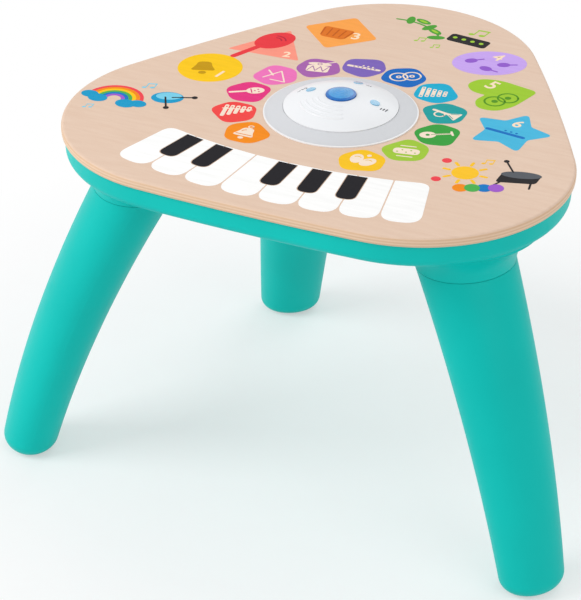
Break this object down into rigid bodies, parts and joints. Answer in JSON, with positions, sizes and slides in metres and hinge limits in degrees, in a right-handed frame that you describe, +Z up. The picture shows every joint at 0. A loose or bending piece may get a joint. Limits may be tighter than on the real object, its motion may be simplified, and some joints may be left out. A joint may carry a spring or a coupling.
{
  "type": "musical activity table",
  "caption": "Low play table with a round-cornered triangular plywood touch top, a push button in a light-up dome, a moulded tray and splayed legs.",
  "frame": {"origin": "on the floor, under the middle of the table's bounding box", "axes": "+Z up, the printed keyboard's side faces -Y, one corner of the top points to +Y"},
  "size_m": [0.55, 0.4344, 0.3545],
  "materials": {
    "plywood": "clear matt lacquered plywood",
    "sensor_film": "amber film with printed pads",
    "foam": "closed-cell foam",
    "teal_plastic": "moulded, satin gloss",
    "foot_rubber": "soft grip rubber",
    "zinc_steel": "zinc plated",
    "frosted_ring": "frosted translucent",
    "white_plastic": "moulded, soft gloss",
    "circuit_board": "green solder mask",
    "led_white": "clear epoxy",
    "lens_blue": "translucent light blue",
    "black_plastic": "moulded",
    "button_blue": "translucent blue",
    "silicone": "milky silicone",
    "ferrite": "sintered ferrite",
    "speaker_paper": "pressed paper",
    "speaker_rubber": "soft half roll",
    "battery_can": "plain sleeve",
    "nickel_contact": "nickel plated spring steel",
    "knob_white": "moulded",
    "capacitor_sleeve": "shrunk sleeve",
    "socket_nylon": "nylon",
    "lead_red": "soft insulation",
    "lead_grey": "soft insulation",
    "ribbon_film": "flat film cable"
  },
  "bodies": {
    "table": {"top_panel": "plywood", "sensor_sheet": "sensor_film", "foam_pad": "foam", "base_tray": "teal_plastic", "leg_left": "teal_plastic", "leg_right": "teal_plastic", "leg_back": "teal_plastic", "leg_socket_left": "teal_plastic", "leg_socket_right": "teal_plastic", "leg_socket_back": "teal_plastic", "foot_pad_left": "foot_rubber", "foot_pad_right": "foot_rubber", "foot_pad_back": "foot_rubber", "leg_screws": "zinc_steel", "panel_screws": "zinc_steel", "light_ring": "frosted_ring", "dome_cup": "white_plastic", "dome_cover": "white_plastic", "dome_board": "circuit_board", "ring_lights": "led_white", "mode_lights": "led_white", "dome_screws": "zinc_steel", "icon_lenses": "lens_blue", "button_switch": "black_plastic", "return_cone": "silicone", "bottom_housing": "teal_plastic", "housing_screws": "zinc_steel", "speaker_gasket": "foam", "speaker_frame": "zinc_steel", "speaker_magnet": "ferrite", "speaker_cone": "speaker_paper", "speaker_surround": "speaker_rubber", "speaker_dust_cap": "speaker_paper", "battery_box": "white_plastic", "door_screw_lug": "white_plastic", "battery_1": "battery_can", "battery_2": "battery_can", "battery_3": "battery_can", "contact_buttons": "nickel_contact", "contact_leaves": "nickel_contact", "power_switch": "black_plastic", "main_board": "circuit_board", "sound_chip": "black_plastic", "capacitors": "capacitor_sleeve", "board_sockets": "socket_nylon", "board_screws": "zinc_steel", "battery_lead": "lead_red", "speaker_lead": "lead_grey", "dome_lead": "lead_grey", "sensor_ribbon": "ribbon_film"},
    "button": {"mode_button": "button_blue"},
    "power_slider": {"power_knob": "knob_white"},
    "door": {"battery_door": "teal_plastic"},
    "door_bolt": {"door_screw": "zinc_steel"}
  },
  "joints": [
    {"name": "button_press", "type": "slide", "parent": "table", "child": "button", "axis": [0, 0, -1], "range_m": [0, 0.002], "stiffness_N_per_m": 600, "springref_m": -0.0006, "deforming": ["return_cone"]},
    {"name": "power_slide", "type": "slide", "parent": "table", "child": "power_slider", "axis": [0, 1, 0], "range_m": [0, 0.008]},
    {"name": "door_swing", "type": "hinge", "parent": "table", "child": "door", "pos_m": [-0.0284, 0.0067, 0.272], "axis": [0, 1, 0], "range_deg": [0, 70]},
    {"name": "bolt_turn", "type": "hinge", "parent": "door", "child": "door_bolt", "pos_m": [0.0348, 0.0067, 0.272], "axis": [0, 0, 1], "continuous": true}
  ]
}
